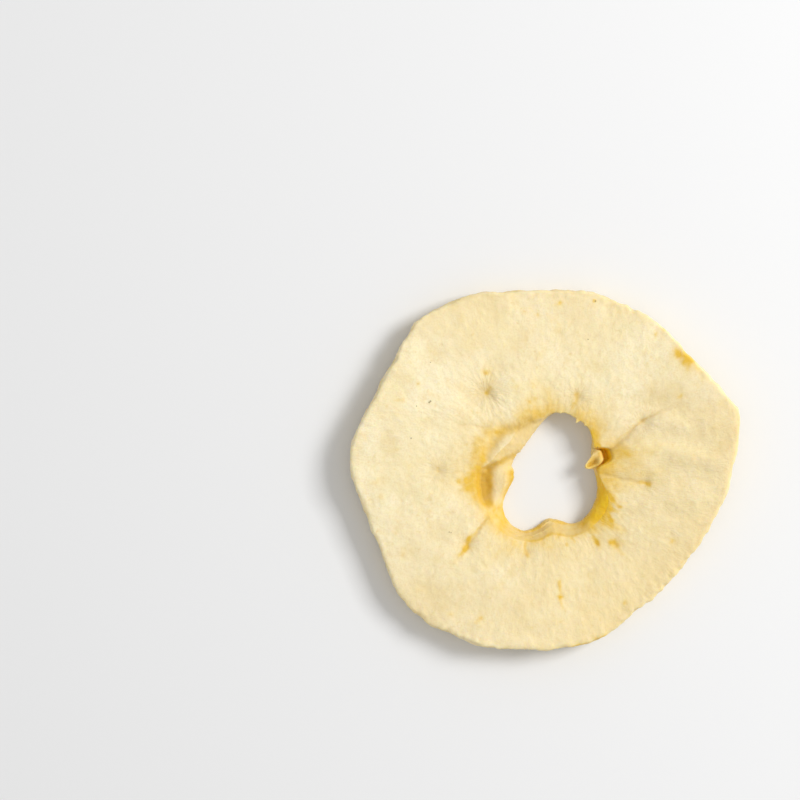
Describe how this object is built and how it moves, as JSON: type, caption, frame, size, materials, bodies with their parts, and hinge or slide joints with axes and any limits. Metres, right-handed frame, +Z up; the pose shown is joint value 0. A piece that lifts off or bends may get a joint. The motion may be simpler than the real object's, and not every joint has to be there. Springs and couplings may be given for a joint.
{
  "type": "dried apple ring",
  "caption": "Peeled and cored apple slice dried to a soft, pale, gently warped ring with an uneven hole.",
  "frame": {"origin": "on the surface that the ring lies on, under the middle of its outline", "axes": "+X across the ring's longest width, +Y across it, +Z up out of the face that shows"},
  "size_m": [0.0646, 0.0597, 0.0071],
  "materials": {
    "dried_flesh": "matte, velvety dried fruit flesh, pale cream with golden yellow round the core hole"
  },
  "bodies": {
    "root": {"apple_ring": "dried_flesh"}
  },
  "joints": []
}
